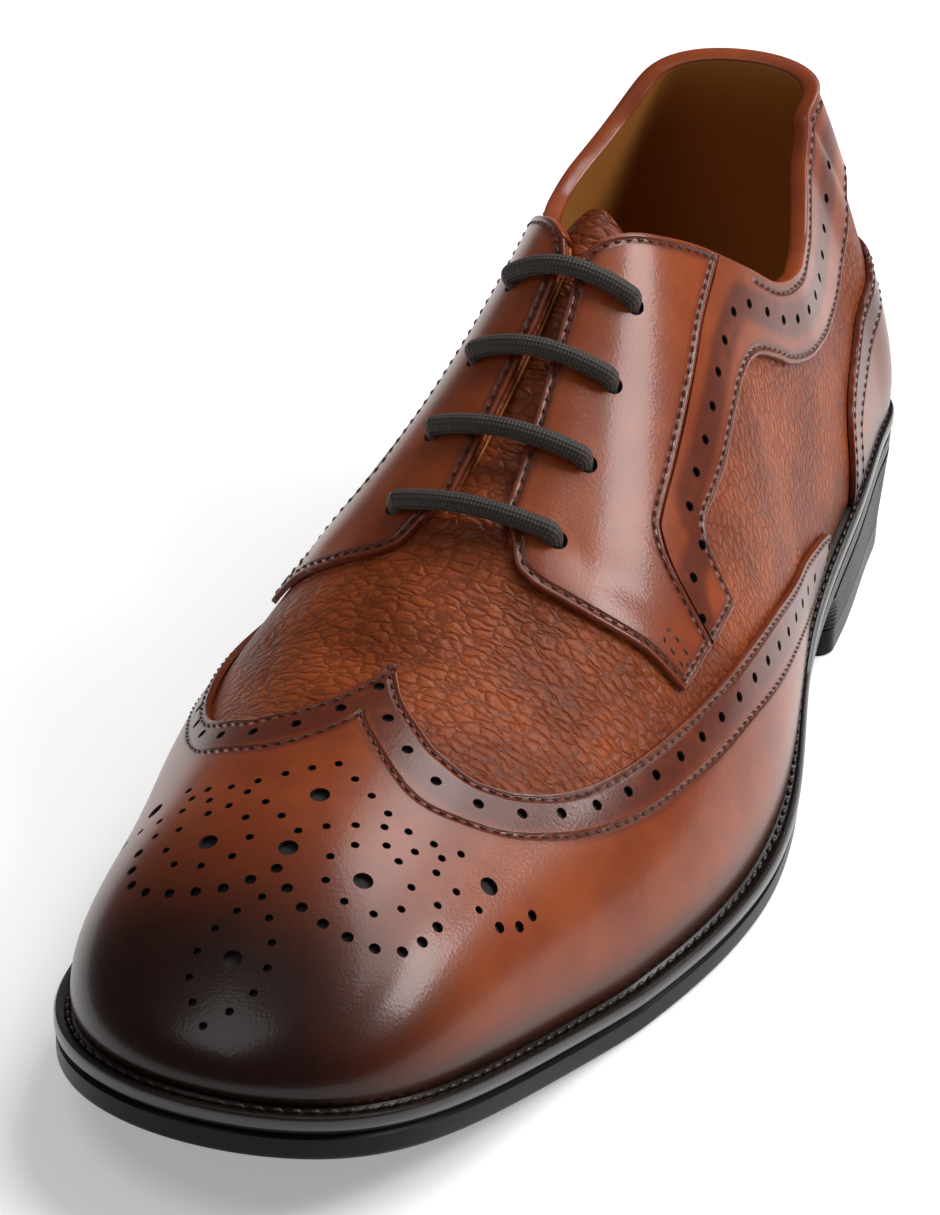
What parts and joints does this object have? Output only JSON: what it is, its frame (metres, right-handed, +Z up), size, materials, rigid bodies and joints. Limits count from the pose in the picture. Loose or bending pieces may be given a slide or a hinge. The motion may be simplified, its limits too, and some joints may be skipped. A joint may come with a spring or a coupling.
{
  "type": "derby brogue shoe",
  "caption": "Left leather derby brogue with wing cap, punched toe medallion, laced facings, stitched welt, stacked heel and toe spring, standing empty on its sole.",
  "frame": {"origin": "on the floor, under the middle of the bounding box", "axes": "+Z up, toe towards -Y, heel towards +Y, lateral side (the wearer's left) towards +X"},
  "size_m": [0.1136, 0.3036, 0.1106],
  "materials": {
    "smooth_calf": "smooth burnished calf, glossy",
    "grained_leather": "tumbled pebble grain, satin",
    "lining_leather": "smooth tan lining leather",
    "welt_leather": "dark edge, waxed",
    "black_rubber": "moulded black rubber sole, satin",
    "heel_rubber": "black stacked heel with fine grooves",
    "lace_cotton": "round braided dark brown lace"
  },
  "bodies": {
    "root": {"outsole": "black_rubber", "heel_stack": "heel_rubber", "heel_top_lift": "heel_rubber", "welt": "welt_leather", "insole": "lining_leather", "upper": "grained_leather", "tongue": "grained_leather", "wing_cap": "smooth_calf", "counter": "smooth_calf", "heel_tab": "smooth_calf", "facing_lateral": "smooth_calf", "facing_medial": "smooth_calf", "band_lateral": "smooth_calf", "band_medial": "smooth_calf", "lace_bar_1": "lace_cotton", "lace_bar_2": "lace_cotton", "lace_bar_3": "lace_cotton", "lace_bar_4": "lace_cotton"}
  },
  "joints": []
}
